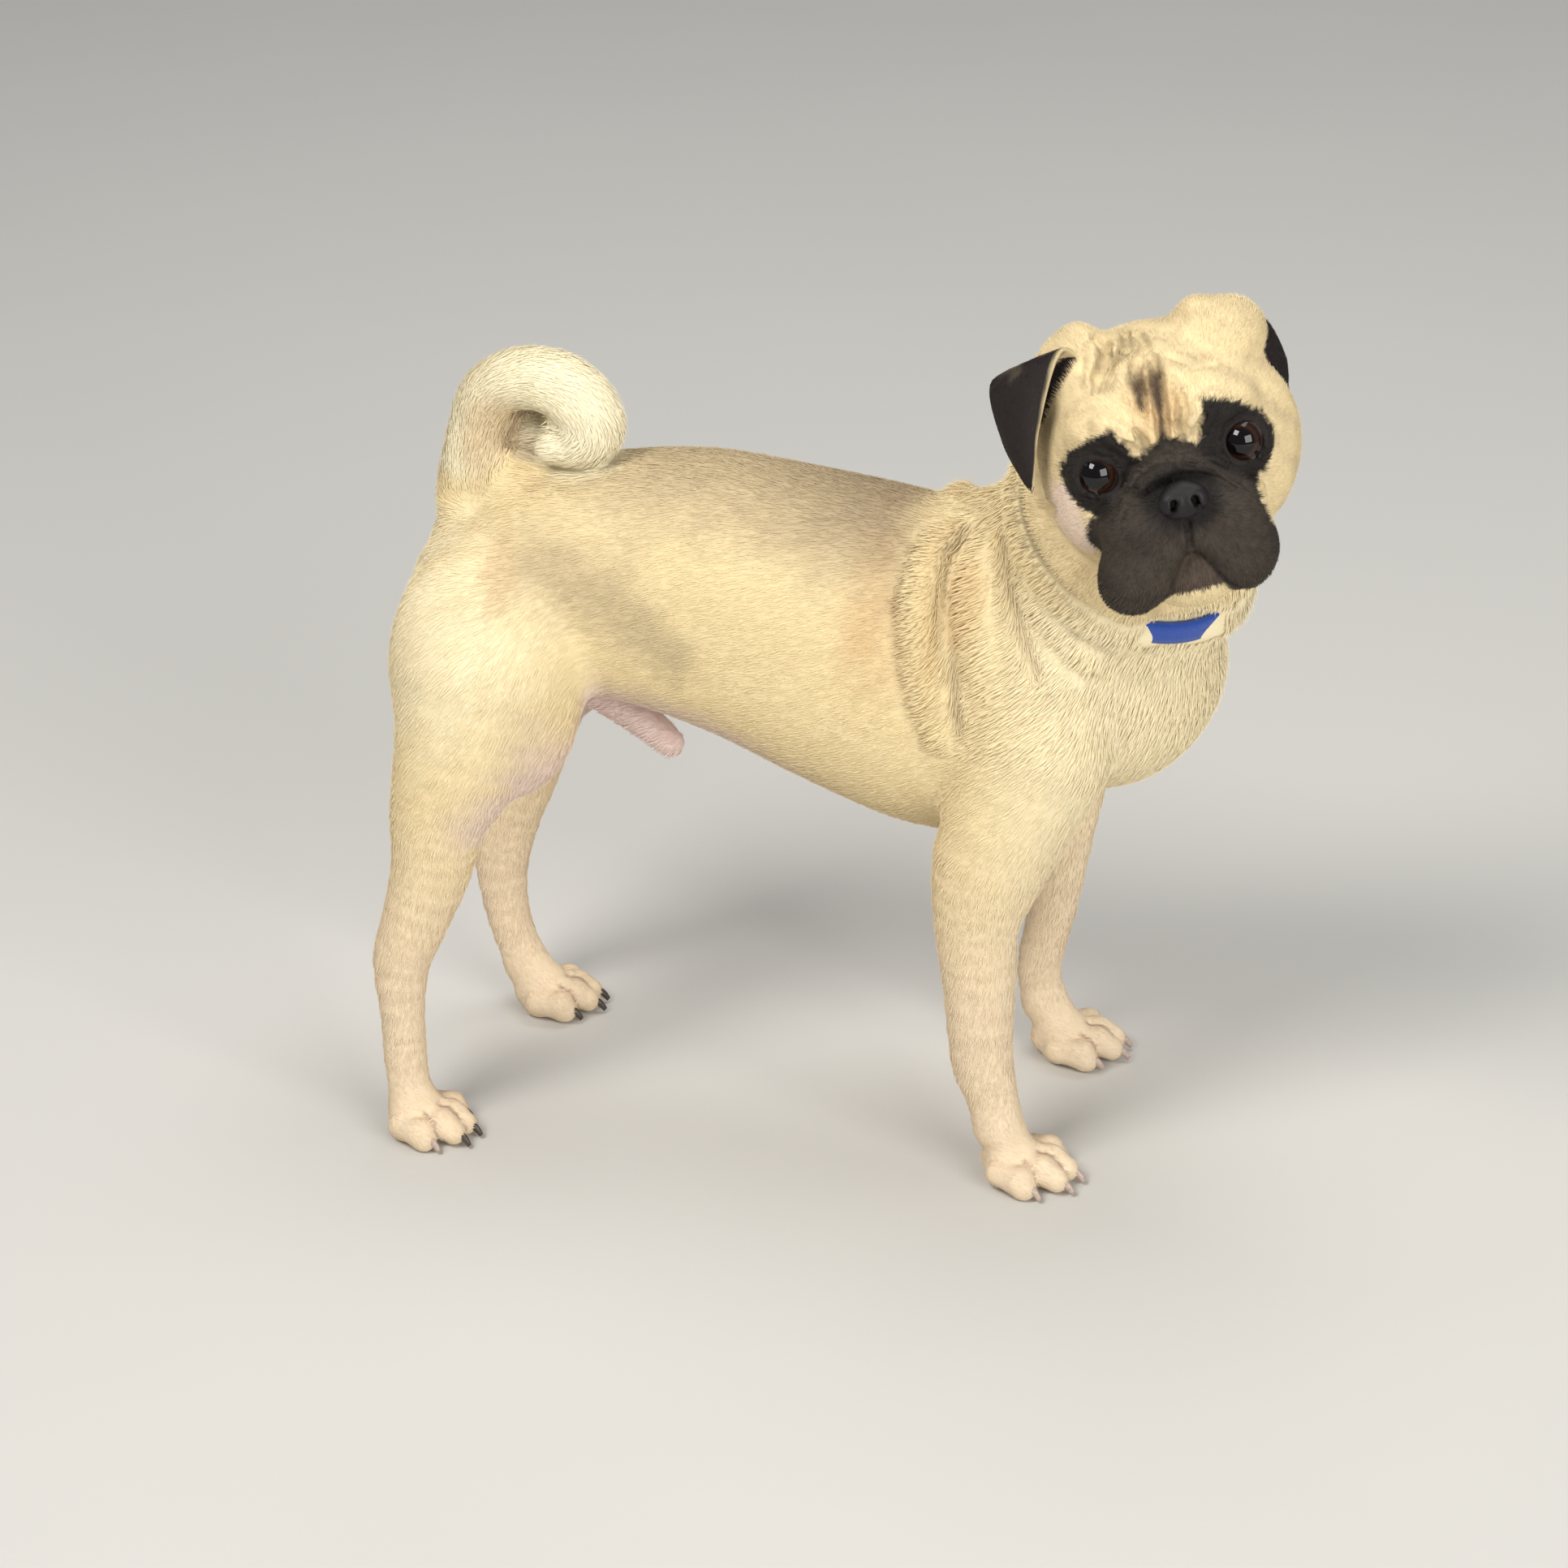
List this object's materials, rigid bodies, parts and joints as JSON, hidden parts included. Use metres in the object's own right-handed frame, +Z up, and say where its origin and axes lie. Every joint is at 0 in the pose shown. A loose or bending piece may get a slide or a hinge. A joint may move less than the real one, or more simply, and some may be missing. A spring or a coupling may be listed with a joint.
{
  "type": "pug dog figure",
  "caption": "Life-size still model of a slim fawn pug, standing, head turned aside and tail curled over the back, with a blue collar.",
  "frame": {"origin": "centre of the bounding box in X and Y, on the floor under the paws", "axes": "+X the way the body faces, +Y the dog's left, +Z up"},
  "size_m": [0.3914, 0.1822, 0.3909],
  "materials": {
    "coat": "short smooth fawn fur",
    "dark_coat": "velvet-black short fur",
    "nose": "moist pebbled black leather",
    "eye": "wet dark brown eye",
    "claw": "horn, pale to dark",
    "collar": "woven blue webbing"
  },
  "bodies": {
    "root": {"head": "coat", "neck": "coat", "chest": "coat", "belly": "coat", "rump": "coat", "tail_root": "coat", "tail_arch": "coat", "tail_tip": "coat", "fore_right_arm": "coat", "fore_right_paw": "coat", "fore_left_arm": "coat", "fore_left_paw": "coat", "hind_right_thigh": "coat", "hind_right_shank": "coat", "hind_right_paw": "coat", "hind_left_thigh": "coat", "hind_left_shank": "coat", "hind_left_paw": "coat", "nose": "nose", "eye_left": "eye", "eye_right": "eye", "ear_right": "dark_coat", "ear_left": "dark_coat", "collar": "collar"}
  },
  "joints": []
}
